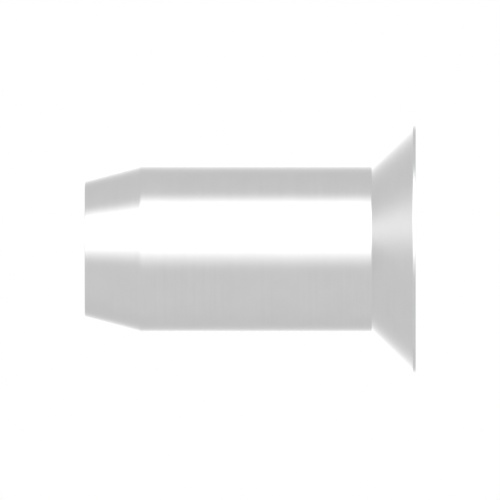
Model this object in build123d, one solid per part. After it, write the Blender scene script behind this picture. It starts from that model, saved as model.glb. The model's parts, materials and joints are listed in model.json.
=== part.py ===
from build123d import *
import math
import os

# Countersunk blind rivet nut, M4, with a smooth round shank and an open end.
#
# It is one turned piece, so it is one solid: a half section revolved about its axis.
# It stands on the flat face of its head. The origin is that face's centre and +Z runs
# along the axis to the nose. All lengths are in millimetres.
#
# From the head to the nose the outside has a thin cylindrical rim, a countersunk cone,
# the straight shank that fits the hole in the sheet, and a tapered nose that leads the
# nut into the hole. The screw and the setting tool's mandrel come in at the head. They
# pass a chamfered mouth and the sleeve, whose thin wall folds outwards behind the sheet
# when the nut is set, then a drill-point shoulder, and reach the thread, which runs out
# through a chamfer in the nose face. The threaded bore is modelled at the thread's
# minor diameter.

# --- Driving dimensions ------------------------------------------------------------

# Thread: nominal size, pitch, and length from the shoulder to the nose face.
thread_diameter = 4.0
thread_pitch = 0.7
thread_length = 5.5

# Walls, each measured on one side of the axis.
sleeve_clearance = 0.3  # sleeve bore outside the nominal thread
sleeve_wall = 0.7  # from the sleeve bore to the shank
nose_wall = 0.46  # from the nominal thread to the edge of the nose face

# Outside.
overall_length = 12.0
nose_angle = 15.0  # taper of the nose, from the axis
head_overhang = 1.5  # head outside the shank, on one side
head_angle = 90.0  # included angle of the countersunk cone
rim_height = 0.1

# Bore.
mouth_chamfer = 0.2  # at 45 degrees, where the sleeve opens in the head face
shoulder_angle = 118.0  # included angle of the drill point
lead_angle = 90.0  # included angle of the thread's chamfer in the nose face
lead_clearance = 0.05  # chamfer's mouth outside the nominal thread, on one side

# Corner radii.
rim_radius = 0.02
mouth_radius = 0.05
underhead_radius = 0.05
taper_radius = 0.25
nose_radius = 0.03
lead_radius = 0.03
shoulder_radius = 0.2
no_radius = 0.0

# --- Sizes that follow -------------------------------------------------------------

# The ISO metric profile: an internal thread's minor diameter is 5/8 of the sharp
# V's height inside its nominal diameter, on each side.
sharp_height = thread_pitch * math.sqrt(3) / 2
thread_radius = thread_diameter / 2
minor_radius = thread_radius - 5 / 8 * sharp_height

sleeve_radius = thread_radius + sleeve_clearance
shank_radius = sleeve_radius + sleeve_wall
head_radius = shank_radius + head_overhang
nose_face_radius = thread_radius + nose_wall
lead_mouth_radius = thread_radius + lead_clearance


def cone_length(wide_radius, narrow_radius, half_angle):
    """Length along the axis of a cone between two radii, at a half angle in degrees."""
    return (wide_radius - narrow_radius) / math.tan(math.radians(half_angle))


# Heights above the head face.
head_face = 0.0
rim_top = head_face + rim_height
shank_start = rim_top + cone_length(head_radius, shank_radius, head_angle / 2)
nose_face = head_face + overall_length
shank_end = nose_face - cone_length(shank_radius, nose_face_radius, nose_angle)
lead_start = nose_face - cone_length(lead_mouth_radius, minor_radius, lead_angle / 2)
thread_start = nose_face - thread_length
sleeve_end = thread_start - cone_length(sleeve_radius, minor_radius, shoulder_angle / 2)
mouth_depth = head_face + mouth_chamfer


# --- The half section --------------------------------------------------------------

# Each corner is (radius from the axis, height above the head face, corner radius).


def outside_corners():
    """Corners of the outside, from the head face's mouth edge round to the nose face."""
    return [
        (sleeve_radius + mouth_chamfer, head_face, mouth_radius),
        (head_radius, head_face, rim_radius),
        (head_radius, rim_top, rim_radius),
        (shank_radius, shank_start, underhead_radius),
        (shank_radius, shank_end, taper_radius),
        (nose_face_radius, nose_face, nose_radius),
    ]


def bore_corners():
    """Corners of the bore, from the nose face back to the mouth in the head face."""
    return [
        (lead_mouth_radius, nose_face, lead_radius),
        (minor_radius, lead_start, no_radius),
        (minor_radius, thread_start, no_radius),
        (sleeve_radius, sleeve_end, shoulder_radius),
        (sleeve_radius, mouth_depth, mouth_radius),
    ]


def half_section():
    """The face between the outside and the bore, in the plane through the axis."""
    corners = outside_corners() + bore_corners()
    with BuildSketch(Plane.XZ) as section:
        with BuildLine():
            FilletPolyline(
                [(radius, height) for radius, height, _ in corners],
                radius=[corner_radius for _, _, corner_radius in corners],
                close=True,
            )
        make_face()
    return section.sketch


def rivet_nut():
    """The whole nut, as one solid turned about the axis."""
    return revolve(half_section(), axis=Axis.Z)


os.makedirs("parts", exist_ok=True)
export_step(rivet_nut(), "parts/rivet_nut.step")
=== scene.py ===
import json
import math

import bmesh
import bpy
import numpy as np
from mathutils import Matrix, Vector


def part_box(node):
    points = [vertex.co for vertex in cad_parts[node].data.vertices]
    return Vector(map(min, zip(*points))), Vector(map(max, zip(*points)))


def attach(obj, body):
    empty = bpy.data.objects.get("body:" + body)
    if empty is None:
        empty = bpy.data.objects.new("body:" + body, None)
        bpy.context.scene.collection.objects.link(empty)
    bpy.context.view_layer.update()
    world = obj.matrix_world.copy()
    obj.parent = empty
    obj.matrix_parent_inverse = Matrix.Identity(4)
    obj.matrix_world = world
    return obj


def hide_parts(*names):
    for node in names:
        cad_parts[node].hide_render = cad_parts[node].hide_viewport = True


# The looks of a countersunk M4 blind rivet nut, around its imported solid.
#
# Everything is in metres and in the solid's frame: the nut stands on the flat face of
# its head at height 0, and +Z runs up its axis to the open nose. One surface, turned
# about the axis, stands for the solid. It has the same section, with crisper corners at
# the rim and the nose face, and a true helical thread where the solid's bore is plain.

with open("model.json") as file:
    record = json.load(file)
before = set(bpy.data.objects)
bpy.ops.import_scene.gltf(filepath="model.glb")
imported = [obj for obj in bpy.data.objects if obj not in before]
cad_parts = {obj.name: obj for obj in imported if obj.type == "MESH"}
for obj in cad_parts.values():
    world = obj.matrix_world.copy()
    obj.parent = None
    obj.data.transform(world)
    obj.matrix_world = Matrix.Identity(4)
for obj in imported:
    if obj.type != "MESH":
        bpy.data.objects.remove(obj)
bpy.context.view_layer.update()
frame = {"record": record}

# --- Sizes -------------------------------------------------------------------------

MM = 0.001
FULL_TURN = 2 * math.pi

# From the frame.
low_corner, high_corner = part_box("rivet_nut")
mounts = {mount["name"]: mount["dims"] for mount in frame["record"]["mounts"]}
head_face = low_corner.z
nose_face = high_corner.z
shank_radius = mounts["shank"]["r_mm"] * MM
sleeve_radius = mounts["sleeve_bore"]["r_mm"] * MM

# Thread: nominal size, pitch, and length from the shoulder to the nose face.
thread_radius = 2.0 * MM
thread_pitch = 0.7 * MM
thread_length = 5.5 * MM
thread_end_clearance = 0.01 * MM  # how much wider than its roots the threaded wall ends

# Outside.
head_overhang = 1.5 * MM
head_angle = 90.0
rim_height = 0.1 * MM
nose_wall = 0.46 * MM
nose_angle = 15.0

# Bore.
mouth_chamfer = 0.2 * MM
shoulder_angle = 118.0
lead_angle = 90.0
lead_clearance = 0.05 * MM

# Corner radii.
rim_radius = 0.01 * MM
mouth_radius = 0.05 * MM
underhead_radius = 0.05 * MM
taper_radius = 0.25 * MM
nose_radius = 0.015 * MM
lead_radius = 0.03 * MM
shoulder_radius = 0.2 * MM
crest_radius = 0.04 * MM  # of each corner of the thread
no_radius = 0.0

# How finely the surface is divided.
columns_round = 192
straight_steps = 10
corner_steps = 6
thread_straight_steps = 3
thread_corner_steps = 3
weld_distance = 0.0002 * MM
sharp_angle = 35.0  # faces that meet at more than this are shaded apart
edge_turn = 40.0  # a corner that turns outwards by more than this is an edge

# The places of the three finishes among the nut's materials.
outside_slot, faced_slot, bore_slot = range(3)

# Sizes that follow. The ISO metric profile: an internal thread's minor diameter is 5/8
# of the sharp V's height inside its nominal diameter, on each side.
sharp_height = thread_pitch * math.sqrt(3) / 2
minor_radius = thread_radius - 5 / 8 * sharp_height
head_radius = shank_radius + head_overhang
nose_face_radius = thread_radius + nose_wall
lead_mouth_radius = thread_radius + lead_clearance
thread_end_radius = thread_radius + thread_end_clearance


def slope(angle):
    """Change in radius for each unit of height of a cone with this angle to its axis."""
    return math.tan(math.radians(angle))


lead_slope = slope(lead_angle / 2)
shoulder_slope = slope(shoulder_angle / 2)
rim_top = head_face + rim_height
shank_start = rim_top + head_overhang / slope(head_angle / 2)
shank_end = nose_face - (shank_radius - nose_face_radius) / slope(nose_angle)
thread_start = nose_face - thread_length
sleeve_end = thread_start - (sleeve_radius - minor_radius) / shoulder_slope
mouth_depth = head_face + mouth_chamfer

# The thread spans the heights between its two cones, to where each is just wider.
thread_low = thread_start - (thread_end_radius - minor_radius) / shoulder_slope
thread_high = nose_face - (lead_mouth_radius - thread_end_radius) / lead_slope


# --- The turned surface ------------------------------------------------------------


def unit(vectors):
    """Each vector divided by its length."""
    return vectors / np.linalg.norm(vectors, axis=-1, keepdims=True)


def rounded_line(corners, stretch_steps, arc_steps):
    """Points along an open line of straight stretches whose inner corners are rounded.

    corners holds a radius, a height and a corner radius for each corner. An arc meets
    both its stretches at the corner radius over the tangent of half the angle between
    them, its centre is on their bisector at the corner radius over that half angle's
    sine, and it is swept by turning one of its end directions evenly into the other.
    A stretch's points are closer together towards its ends, as a cosine is.
    Returns the points, and whether each is on the arc of an edge.
    """
    places = np.array(corners)[:, :2]
    radii = np.array(corners)[1:-1, 2, None]
    back = unit(places[:-2] - places[1:-1])
    ahead = unit(places[2:] - places[1:-1])
    half = np.arccos(np.sum(back * ahead, axis=1, keepdims=True)) / 2
    outward_turn = back[:, 1] * ahead[:, 0] - back[:, 0] * ahead[:, 1]
    is_edge = outward_turn > math.sin(math.radians(edge_turn))
    arc_starts = places[1:-1] + back * radii / np.tan(half)
    arc_ends = places[1:-1] + ahead * radii / np.tan(half)
    centres = places[1:-1] + unit(back + ahead) * radii / np.sin(half)

    share = np.linspace(0, 1, arc_steps + 1)[None, :, None]
    sweep = (math.pi - 2 * half)[:, None]
    first, last = (arc_starts - centres)[:, None], (arc_ends - centres)[:, None]
    arcs = np.sin((1 - share) * sweep) * first + np.sin(share * sweep) * last
    arcs = centres[:, None] + arcs / np.sin(sweep)

    starts = np.concatenate([places[:1], arc_ends])[:, None]
    ends = np.concatenate([arc_starts, places[-1:]])[:, None]
    eased = (1 - np.cos(np.linspace(0, math.pi, stretch_steps + 1)[1:-1])) / 2
    stretches = starts + (ends - starts) * eased[None, :, None]

    inner = np.concatenate([stretches[:-1], arcs], axis=1)
    line = np.concatenate([places[:1], inner.reshape(-1, 2), stretches[-1], places[-1:]])
    on_arc = np.arange(inner.shape[1]) >= len(eased)
    on_edge = np.zeros(len(line), bool)
    on_edge[1:1 + inner.shape[0] * inner.shape[1]] = np.outer(is_edge, on_arc).ravel()
    return line, on_edge


def section_corners():
    """Corners of the section, from the thread's low end round the outside to its high end."""
    return [
        (thread_end_radius, thread_low, no_radius),
        (sleeve_radius, sleeve_end, shoulder_radius),
        (sleeve_radius, mouth_depth, mouth_radius),
        (sleeve_radius + mouth_chamfer, head_face, mouth_radius),
        (head_radius, head_face, rim_radius),
        (head_radius, rim_top, rim_radius),
        (shank_radius, shank_start, underhead_radius),
        (shank_radius, shank_end, taper_radius),
        (nose_face_radius, nose_face, nose_radius),
        (lead_mouth_radius, nose_face, lead_radius),
        (thread_end_radius, thread_high, no_radius),
    ]


def pitch_corners():
    """Corners of one pitch of the internal thread, from the middle of one crest to the next.

    The crest flat is a quarter of the pitch and the root flat an eighth, so each 30
    degree flank takes 5/16 of it.
    """
    crest_end = thread_pitch / 8
    root_start = crest_end + thread_pitch * 5 / 16
    return [
        (minor_radius, 0, no_radius),
        (minor_radius, crest_end, crest_radius),
        (thread_radius, root_start, crest_radius),
        (thread_radius, thread_pitch - root_start, crest_radius),
        (minor_radius, thread_pitch - crest_end, crest_radius),
        (minor_radius, thread_pitch, no_radius),
    ]


def end_cones(heights):
    """Radius of the shoulder's or the lead chamfer's cone, whichever is wider."""
    lead = thread_end_radius + (heights - thread_high) * lead_slope
    shoulder = thread_end_radius - (heights - thread_low) * shoulder_slope
    return np.maximum(lead, shoulder)


def threaded_wall(angles):
    """The threaded wall, on rows that follow the helix, from its high end to its low end.

    Each row keeps its place in the pitch and rises by one pitch a turn, right-handed,
    so that it meets the row one pitch above it where the turn closes. Where the thread
    runs out into a cone, the nearest row's point slides along the thread to where the
    two radii are equal, a share of the way to the next row. The wall is the wider of
    the thread and the cones, and stops at the thread's two ends, where rows run together.
    Returns radii, heights, and whether each point is on the crease where thread meets
    cone.
    """
    pitch_line, _ = rounded_line(
        pitch_corners(), thread_straight_steps, thread_corner_steps
    )
    pitch_line = pitch_line[:-1]
    turns = np.arange(-1, math.ceil((thread_high - thread_low) / thread_pitch) + 1)
    places = turns[:, None] * thread_pitch + pitch_line[:, 1]
    heights = thread_low + places.reshape(-1, 1) + thread_pitch * angles / FULL_TURN
    radii = np.tile(pitch_line[:, 0], len(turns))[:, None] + 0 * angles

    wider_by = radii - end_cones(heights)
    crosses = wider_by[:-1] * wider_by[1:] < 0
    share = np.where(crosses, wider_by[:-1] / (wider_by[:-1] - wider_by[1:]), 0)
    slides_up = crosses & (share <= 0.5)
    slides_down = crosses & (share > 0.5)
    for values in (radii, heights):
        step = np.diff(values, axis=0)
        values[:-1] += step * share * slides_up
        values[1:] -= step * (1 - share) * slides_down
    on_crease = np.zeros(radii.shape, bool)
    on_crease[:-1] |= slides_up
    on_crease[1:] |= slides_down

    heights = np.clip(heights, thread_low, thread_high)
    radii = np.maximum(radii, end_cones(heights))
    return radii[::-1], heights[::-1], on_crease[::-1]


def faces_along(creases):
    """Four-sided faces between rows and columns, split in two where a crease crosses one.

    creases says of each point whether it is on a crease. A face whose opposite corners
    are both on one is split between them. Returns the faces, and the row of each.
    """
    index = np.arange(creases.size).reshape(creases.shape)
    quads = np.stack(
        [index[:-1, :-1], index[:-1, 1:], index[1:, 1:], index[1:, :-1]], axis=-1
    )
    rows = np.arange(len(quads))[:, None] + 0 * quads[..., 0]
    creased = creases.ravel()[quads]
    falls = creased[..., 0] & creased[..., 2]
    climbs = creased[..., 1] & creased[..., 3] & ~falls
    parts = [
        (~falls & ~climbs, [0, 1, 2, 3]),
        (falls, [0, 1, 2]),
        (falls, [0, 2, 3]),
        (climbs, [0, 1, 3]),
        (climbs, [1, 2, 3]),
    ]
    faces = []
    for chosen, corners in parts:
        faces += quads[chosen][:, corners].tolist()
    return faces, np.concatenate([rows[chosen] for chosen, _ in parts])


def finish_slots(line, rows):
    """The finish of each row of faces: the head face and the nose face are faced."""
    slots = np.full(rows, bore_slot)
    head = np.flatnonzero(line[:, 1] <= head_face + weld_distance)
    nose = np.flatnonzero(line[:, 1] >= nose_face - weld_distance)
    slots[head[0]:head[-1]] = faced_slot
    slots[head[-1]:nose[0]] = outside_slot
    slots[nose[0]:nose[-1]] = faced_slot
    return slots


def distances_along(line, on_edge, wall_heights):
    """How far each point is along the section, and from the nearest edge.

    On the threaded wall the first goes on by the drop from the wall's high end, and
    every edge is taken to be a pitch away.
    """
    steps = np.diff(line, axis=0, prepend=line[:1])
    along = np.cumsum(np.linalg.norm(steps, axis=1))
    from_edge = np.abs(along[:, None] - along[on_edge]).min(axis=1)
    level = np.zeros(wall_heights.shape[1])
    wall_along = along[-1] + thread_high - wall_heights
    wall_from_edge = np.full(wall_heights.shape, thread_pitch)
    return (
        np.concatenate([along[:, None] + level, wall_along]),
        np.concatenate([from_edge[:, None] + level, wall_from_edge]),
    )


def turned_nut(outside_finish, faced_finish, bore_shaded_finish):
    """The nut: its rounded section carried round the axis, closed by the threaded wall.

    A point is its radius times the cosine and sine of its angle, at its height.
    """
    angles = np.linspace(0, FULL_TURN, columns_round + 1)
    line, on_edge = rounded_line(section_corners(), straight_steps, corner_steps)
    wall_radii, wall_heights, on_wall_crease = threaded_wall(angles)
    radii = np.concatenate([line[:, :1] + 0 * angles, wall_radii])
    heights = np.concatenate([line[:, 1:] + 0 * angles, wall_heights])
    points = np.stack([radii * np.cos(angles), radii * np.sin(angles), heights], axis=-1)
    on_crease = np.zeros(radii.shape, bool)
    on_crease[len(line):] = on_wall_crease
    faces, rows = faces_along(on_crease)
    slots = finish_slots(line, len(radii) - 1)
    along, from_edge = distances_along(line, on_edge, wall_heights)

    mesh = bpy.data.meshes.new("rivet_nut_turned")
    mesh.from_pydata(points.reshape(-1, 3), [], faces)
    mesh.polygons.foreach_set("material_index", slots[rows].astype(np.int32))
    for name, values in (
        ("along_section", along / MM),
        ("from_edge", from_edge / MM),
        ("on_crease", on_crease),
    ):
        attribute = mesh.attributes.new(name, "FLOAT", "POINT")
        attribute.data.foreach_set("value", values.ravel().astype(np.float32))
    weld(mesh)
    mesh.shade_smooth()
    mesh.set_sharp_from_angle(angle=math.radians(sharp_angle))
    sharpen_creases(mesh)
    for finish in (outside_finish, faced_finish, bore_shaded_finish):
        mesh.materials.append(finish)
    return add_object("rivet_nut_turned", mesh)


def weld(mesh):
    """Merges points that share a place, which closes the turn and drops flat faces."""
    surface = bmesh.new()
    surface.from_mesh(mesh)
    bmesh.ops.remove_doubles(surface, verts=surface.verts, dist=weld_distance)
    surface.to_mesh(mesh)
    surface.free()


def sharpen_creases(mesh):
    """Makes an edge sharp where both its points are on a crease."""
    on_crease = np.empty(len(mesh.vertices), np.float32)
    mesh.attributes["on_crease"].data.foreach_get("value", on_crease)
    ends = np.empty(2 * len(mesh.edges), np.int32)
    mesh.edges.foreach_get("vertices", ends)
    sharp = np.empty(len(mesh.edges), bool)
    mesh.edges.foreach_get("use_edge_sharp", sharp)
    sharp |= on_crease[ends.reshape(-1, 2)].min(axis=1) > 0.5
    mesh.edges.foreach_set("use_edge_sharp", sharp)


def add_object(name, data):
    """A new object in the scene."""
    made = bpy.data.objects.new(name, data)
    bpy.context.scene.collection.objects.link(made)
    return made


# --- Nodes -------------------------------------------------------------------------

FLOAT = "NodeSocketFloat"
VECTOR = "NodeSocketVector"

noise_roughness = 0.6
noise_range = (0.3, 0.7)  # a noise is mostly between these values
kept_range = (0.3, 0.6)  # of the noise that breaks up a rubbed edge
groove_range = (0.6, 0.4)  # a groove starts where the lines' noise falls to the first


def put(tree, kind, inputs=None, **settings):
    """Adds a node, sets its options, and gives each input a value or a node's output."""
    node = tree.nodes.new(kind)
    for name, value in settings.items():
        setattr(node, name, value)
    for key, value in (inputs or {}).items():
        if isinstance(value, bpy.types.NodeSocket):
            tree.links.new(value, node.inputs[key])
        else:
            node.inputs[key].default_value = value
    return node


def calc(tree, operation, *values):
    """The output of a Math node on values, each a number or a node's output."""
    return put(
        tree, "ShaderNodeMath", dict(enumerate(values)), operation=operation
    ).outputs[0]


def ease(tree, value, start, end, low=0.0, high=1.0):
    """A value that eases from low at start to high at end, and is level beyond them."""
    limits = {"From Min": start, "From Max": end, "To Min": low, "To Max": high}
    return put(
        tree,
        "ShaderNodeMapRange",
        {"Value": value, **limits},
        interpolation_type="SMOOTHSTEP",
    ).outputs["Result"]


def part_way(tree, share, low, high):
    """The value that is a share of the way from low to high."""
    ends = {"Factor": share, "A": low, "B": high}
    return put(tree, "ShaderNodeMix", ends).outputs["Result"]


def blend(tree, share, first, second):
    """A colour that goes from the first to the second as share goes from 0 to 1."""
    node = put(tree, "ShaderNodeMix", {"Factor": share}, data_type="RGBA")
    sockets = {socket.identifier: socket for socket in node.inputs}
    for key, colour in (("A_Color", first), ("B_Color", second)):
        if isinstance(colour, bpy.types.NodeSocket):
            tree.links.new(colour, sockets[key])
        else:
            sockets[key].default_value = (*colour, 1.0)
    return {socket.identifier: socket for socket in node.outputs}["Result_Color"]


def noise(tree, place, scale, detail):
    """The value of a fractal noise at a place."""
    inputs = {"Vector": place, "Scale": scale, "Detail": detail}
    inputs["Roughness"] = noise_roughness
    return put(tree, "ShaderNodeTexNoise", inputs).outputs["Fac"]


def new_group(name, inputs, output):
    """An empty node group with named inputs and one value out, and its two end nodes."""
    tree = bpy.data.node_groups.new(name, "ShaderNodeTree")
    for socket, kind in inputs.items():
        tree.interface.new_socket(socket, in_out="INPUT", socket_type=kind)
    tree.interface.new_socket(output, in_out="OUTPUT", socket_type=FLOAT)
    given = tree.nodes.new("NodeGroupInput").outputs
    result = tree.nodes.new("NodeGroupOutput").inputs
    return tree, given, result


def tool_lines_group():
    """Fine lines round the nut, left by the tool.

    The noise is read coarsely across the axis and finely along the section, so on every
    surface it draws out into lines that run round the axis.
    """
    inputs = {"Place": VECTOR, "Along": FLOAT, "Lines per mm": FLOAT, "Wander": FLOAT}
    tree, given, result = new_group("tool_lines", inputs, "Lines")
    place = put(tree, "ShaderNodeSeparateXYZ", {"Vector": given["Place"]}).outputs
    drawn_out = put(tree, "ShaderNodeCombineXYZ", {
        "X": calc(tree, "MULTIPLY", place["X"], given["Wander"]),
        "Y": calc(tree, "MULTIPLY", place["Y"], given["Wander"]),
        "Z": calc(tree, "MULTIPLY", given["Along"], given["Lines per mm"]),
    })
    lines = noise(tree, drawn_out.outputs["Vector"], scale=1.0, detail=3.0)
    tree.links.new(lines, result["Lines"])
    return tree


def plating_cloud_group():
    """Soft patches in the plating, from 0 where it is dull to 1 where it is bright."""
    inputs = {"Place": VECTOR, "Patches per metre": FLOAT}
    tree, given, result = new_group("plating_cloud", inputs, "Bright")
    cloud = noise(tree, given["Place"], given["Patches per metre"], detail=4.0)
    tree.links.new(ease(tree, cloud, *noise_range), result["Bright"])
    return tree


def rubbed_edge_group():
    """How far an edge is rubbed bright: most on its arc, none beyond the width.

    The width is in millimetres along the section, and a noise breaks the rubbing up.
    """
    inputs = {"Place": VECTOR, "From edge": FLOAT, "Width": FLOAT, "Breaks": FLOAT}
    tree, given, result = new_group("rubbed_edge", inputs, "Rubbed")
    near = ease(tree, given["From edge"], given["Width"], 0.0)
    breaks = noise(tree, given["Place"], given["Breaks"], detail=2.0)
    kept = ease(tree, breaks, *kept_range)
    tree.links.new(calc(tree, "MULTIPLY", near, kept), result["Rubbed"])
    return tree


# --- Finishes ----------------------------------------------------------------------


def zinc_plate(name, groups, look):
    """Bright zinc plate on steel: tool lines, cloudy plating and rubbed edges."""
    material = bpy.data.materials.new(name)
    material.use_nodes = True
    tree = material.node_tree
    tree.nodes.clear()
    place = put(tree, "ShaderNodeTexCoord").outputs["Object"]
    along = put(tree, "ShaderNodeAttribute", attribute_name="along_section")
    from_edge = put(tree, "ShaderNodeAttribute", attribute_name="from_edge")

    lines = put(tree, "ShaderNodeGroup", node_tree=groups["tool_lines"])
    cloud = put(tree, "ShaderNodeGroup", node_tree=groups["plating_cloud"])
    edge = put(tree, "ShaderNodeGroup", node_tree=groups["rubbed_edge"])
    for node in (lines, cloud, edge):
        tree.links.new(place, node.inputs["Place"])
    tree.links.new(along.outputs["Fac"], lines.inputs["Along"])
    tree.links.new(from_edge.outputs["Fac"], edge.inputs["From edge"])
    lines.inputs["Lines per mm"].default_value = look["lines_per_mm"]
    lines.inputs["Wander"].default_value = look["wander"]
    cloud.inputs["Patches per metre"].default_value = look["patches_per_metre"]
    edge.inputs["Width"].default_value = look["rubbed_width_mm"]
    edge.inputs["Breaks"].default_value = look["breaks_per_metre"]

    line = lines.outputs["Lines"]
    bright = cloud.outputs["Bright"]
    rubbed = edge.outputs["Rubbed"]
    plated = blend(tree, bright, look["dull_colour"], look["bright_colour"])
    grooved = ease(tree, line, *groove_range, 0.0, look["groove_share"])
    plated = blend(tree, grooved, plated, look["groove_colour"])
    roughnesses = (look["low_roughness"], look["high_roughness"])
    lined = ease(tree, line, *noise_range, *roughnesses)
    polished = calc(tree, "MULTIPLY", rubbed, look["polish"])
    bumps = put(tree, "ShaderNodeBump", {
        "Strength": 1.0,
        "Distance": look["line_depth"],
        "Height": line,
    })
    metal = put(tree, "ShaderNodeBsdfPrincipled", {
        "Base Color": blend(tree, rubbed, plated, look["rubbed_colour"]),
        "Metallic": 1.0,
        "Roughness": calc(tree, "SUBTRACT", lined, polished),
        "Normal": bumps.outputs["Normal"],
    })
    put(tree, "ShaderNodeOutputMaterial", {"Surface": metal.outputs["BSDF"]})
    return material


outside_look = {
    "dull_colour": (0.566, 0.565, 0.571),
    "bright_colour": (0.579, 0.578, 0.585),
    "rubbed_colour": (0.595, 0.594, 0.600),
    "groove_colour": (0.500, 0.499, 0.506),
    "groove_share": 0.12,
    "low_roughness": 0.18,
    "high_roughness": 0.22,
    "polish": 0.03,
    "lines_per_mm": 24.0,
    "wander": 120.0,
    "line_depth": 0.0003 * MM,
    "patches_per_metre": 900.0,
    "rubbed_width_mm": 0.05,
    "breaks_per_metre": 2500.0,
}
faced_look = {
    **outside_look,
    "groove_share": 0.9,
    "low_roughness": 0.17,
    "high_roughness": 0.25,
    "lines_per_mm": 20.0,
    "wander": 60.0,
    "line_depth": 0.0012 * MM,
}
# In the bore the plate is rougher, with coarser and deeper lines. Its colours are painted
# darker than the outside's, as painted shade inside the bore.
bore_shaded_look = {
    **outside_look,
    "dull_colour": (0.47, 0.47, 0.48),
    "bright_colour": (0.53, 0.53, 0.54),
    "groove_colour": (0.44, 0.44, 0.45),
    "groove_share": 0.5,
    "low_roughness": 0.22,
    "high_roughness": 0.32,
    "lines_per_mm": 14.0,
    "line_depth": 0.0012 * MM,
}


# --- Studio ------------------------------------------------------------------------

# The nut is lit by a tall wall of light beside the camera, a small light overhead and
# one behind, in front of a far side that is a little darker. A level is how much
# brighter than the white room the light is, and a spread is the angle at which a glow
# has fallen to about a third.
wall_fades_in = (-32.0, 32.7)  # angle round the nut from the camera's side, in degrees
wall_fades_out = (44.0, 88.0)
wall_narrows = (6.7, 18.5)  # degrees taken from its two sides, for each unit of height
wall_top = (38.0, 55.0)  # angles above and below the nut between which it fades
wall_level = 2.18
overhead_towards = (0.273, -0.092, 0.975)
overhead_level = 0.7
overhead_spread = 13.3
behind_towards = (0.03, 0.98, 0.234)
behind_level = 1.13
behind_spread = 24.0
far_side_towards = (0.0, 1.0, 0.11)
far_side_level = -0.28
far_side_spread = 49.0
room_level = 0.65  # of the light that dull surfaces get from all round
backdrop_level = 0.88  # that the camera sees round the white sheet behind the nut
backdrop_fades = (40.0, 20.0)  # angle from the middle of that sheet, in degrees


def glow(tree, direction, towards, level, spread):
    """A round soft light: it falls off as the exponential of one less the cosine of the
    angle from its middle, which is close to a bell curve of the angle."""
    dot = put(tree, "ShaderNodeVectorMath", {
        0: direction,
        1: unit(np.array(towards)),
    }, operation="DOT_PRODUCT").outputs["Value"]
    width = 1 - math.cos(math.radians(spread))
    fall = calc(tree, "DIVIDE", calc(tree, "SUBTRACT", dot, 1.0), width)
    return calc(tree, "MULTIPLY", calc(tree, "EXPONENT", fall), level)


def wall_of_light(tree, direction):
    """A tall curved softbox: a band of angles round the nut, narrower high and low."""
    along = put(tree, "ShaderNodeSeparateXYZ", {"Vector": direction}).outputs
    forward = calc(tree, "MULTIPLY", along["Y"], -1.0)
    angle = calc(tree, "ARCTAN2", along["X"], forward)
    height = calc(tree, "ABSOLUTE", along["Z"])
    in_by, out_by = (calc(tree, "MULTIPLY", height, by) for by in np.radians(wall_narrows))
    from_first = calc(tree, "SUBTRACT", angle, in_by)
    from_last = calc(tree, "ADD", angle, out_by)
    fade_in = ease(tree, from_first, *np.radians(wall_fades_in).tolist())
    fade_out = ease(tree, from_last, *np.radians(wall_fades_out)[::-1].tolist())
    top = ease(tree, height, *np.sin(np.radians(wall_top))[::-1].tolist())
    inside = calc(tree, "MULTIPLY", calc(tree, "MULTIPLY", fade_in, fade_out), top)
    return calc(tree, "MULTIPLY", inside, wall_level)


def white_studio():
    """A pale room with a white sheet behind the nut, as the camera sees it. Metal sees
    white all round and the lights in it, and dull surfaces get a plain level."""
    world = bpy.data.worlds.new("white_studio")
    world.use_nodes = True
    tree = world.node_tree
    tree.nodes.clear()
    direction = put(tree, "ShaderNodeTexCoord").outputs["Generated"]
    lights = wall_of_light(tree, direction)
    for towards, level, spread in (
        (overhead_towards, overhead_level, overhead_spread),
        (behind_towards, behind_level, behind_spread),
        (far_side_towards, far_side_level, far_side_spread),
    ):
        lights = calc(tree, "ADD", lights, glow(tree, direction, towards, level, spread))
    ray = put(tree, "ShaderNodeLightPath").outputs
    bent = calc(tree, "MAXIMUM", ray["Is Glossy Ray"], ray["Is Transmission Ray"])
    far = put(tree, "ShaderNodeSeparateXYZ", {"Vector": direction}).outputs["Y"]
    fades = np.cos(np.radians(backdrop_fades)).tolist()
    backdrop = ease(tree, far, *fades, backdrop_level, 1.0)
    level = part_way(tree, ray["Is Camera Ray"], room_level, backdrop)
    level = part_way(tree, bent, level, calc(tree, "ADD", lights, 1.0))
    white = (1.0, 1.0, 1.0, 1.0)
    light = put(tree, "ShaderNodeBackground", {"Color": white, "Strength": level})
    put(tree, "ShaderNodeOutputWorld", {"Surface": light.outputs["Background"]})
    bpy.context.scene.world = world


floor_radius = 200 * MM
floor_gap = 0.01 * MM  # under the head face
floor_colour = 0.68
floor_level = 0.20  # its own light, so that it is pale where no shadow falls
floor_sides = 96


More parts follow.
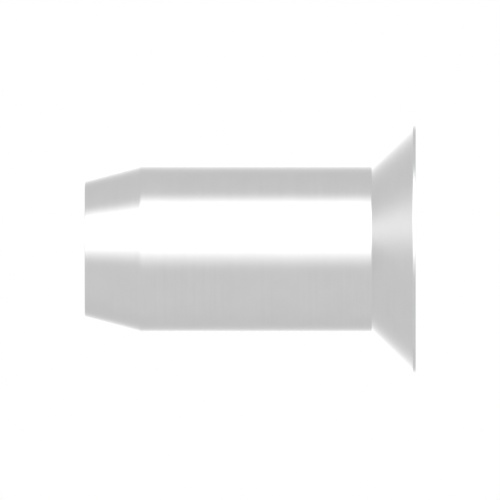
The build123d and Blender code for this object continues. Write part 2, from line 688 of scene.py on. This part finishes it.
def pale_floor():
    """A pale disc under the nut, clear from underneath. It keeps the nut's shadow.

    Metal sees the room through it, so that its lights reach down to the head's rim.
    """
    angles = np.linspace(0, FULL_TURN, floor_sides, endpoint=False)
    rim = np.stack([np.cos(angles), np.sin(angles), 0 * angles], axis=-1) * floor_radius
    rim[:, 2] = head_face - floor_gap
    mesh = bpy.data.meshes.new("floor")
    mesh.from_pydata(rim, [], [range(floor_sides)])
    floor = add_object("floor", mesh)

    material = bpy.data.materials.new("pale_floor")
    material.use_nodes = True
    tree = material.node_tree
    tree.nodes.clear()
    ray = put(tree, "ShaderNodeLightPath").outputs
    beneath = put(tree, "ShaderNodeNewGeometry").outputs["Backfacing"]
    clear = calc(tree, "MAXIMUM", beneath, ray["Is Glossy Ray"])
    level = calc(tree, "MULTIPLY", ray["Is Camera Ray"], floor_level)
    paint = put(tree, "ShaderNodeBsdfDiffuse", {"Color": (*[floor_colour] * 3, 1.0)})
    shine = put(tree, "ShaderNodeEmission", {"Strength": level})
    top = put(tree, "ShaderNodeAddShader", {
        0: paint.outputs["BSDF"],
        1: shine.outputs["Emission"],
    })
    surface = put(tree, "ShaderNodeMixShader", {
        0: clear,
        1: top.outputs["Shader"],
        2: put(tree, "ShaderNodeBsdfTransparent").outputs["BSDF"],
    })
    put(tree, "ShaderNodeOutputMaterial", {"Surface": surface.outputs["Shader"]})
    mesh.materials.append(material)


lamp_round = 25.0  # degrees round the nut from the camera's side, as for the wall
lamp_height = 50.0  # degrees above the floor
lamp_distance = 300 * MM
lamp_size = 160 * MM
lamp_level = 0.35  # of the light on the floor


def shadow_lamp():
    """A square softbox that gives the rest of the dull light, and the nut's shadow.

    A flat lamp of power P gives P / pi / distance squared along its axis, and pi times
    the level on a floor that it meets at a slant. Metal sees the wall of light instead.
    """
    around, above = math.radians(lamp_round), math.radians(lamp_height)
    towards = np.array([
        math.sin(around) * math.cos(above),
        -math.cos(around) * math.cos(above),
        math.sin(above),
    ])
    data = bpy.data.lights.new("shadow_lamp", "AREA")
    data.size = lamp_size
    data.energy = lamp_level * (math.pi * lamp_distance) ** 2 / math.sin(above)
    lamp = add_object("shadow_lamp", data)
    lamp.location = towards * lamp_distance
    lamp.rotation_euler = lamp.location.to_track_quat("Z", "Y").to_euler()
    lamp.visible_glossy = False


# --- Camera ------------------------------------------------------------------------

# The image is square. The nut lies along it, with its head face to the right.
image_pixels = 500.0
nut_pixels = 331.0
head_face_pixel = 415.68
axis_pixel = 248.9
camera_distance = 200 * MM
camera_near = 2 * MM  # nothing nearer than this shows


def side_camera():
    """Level with the nut and square to its axis, turned so that the nose points left."""
    pixel = (nose_face - head_face) / nut_pixels
    data = bpy.data.cameras.new("side_camera")
    data.type = "ORTHO"
    data.ortho_scale = image_pixels * pixel
    data.clip_start = camera_near
    camera = add_object("side_camera", data)
    middle = image_pixels / 2
    right, up, back = (0, 0, -1), (1, 0, 0), (0, -1, 0)
    place = (
        (axis_pixel - middle) * pixel,
        -camera_distance,
        head_face + (head_face_pixel - middle) * pixel,
    )
    camera.matrix_world = Matrix([*zip(right, up, back, place), (0, 0, 0, 1)])
    bpy.context.scene.camera = camera


# --- Run ---------------------------------------------------------------------------


def main():
    """Makes the studio, then the nut, and hands the nut over to the frame."""
    bpy.context.scene.view_settings.view_transform = "Standard"
    side_camera()
    white_studio()
    pale_floor()
    shadow_lamp()
    groups = {
        "tool_lines": tool_lines_group(),
        "plating_cloud": plating_cloud_group(),
        "rubbed_edge": rubbed_edge_group(),
    }
    nut = turned_nut(
        zinc_plate("zinc_plate_outside", groups, outside_look),
        zinc_plate("zinc_plate_faced", groups, faced_look),
        zinc_plate("zinc_plate_shaded_in_bore", groups, bore_shaded_look),
    )
    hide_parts("rivet_nut")
    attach(nut, "root")


main()
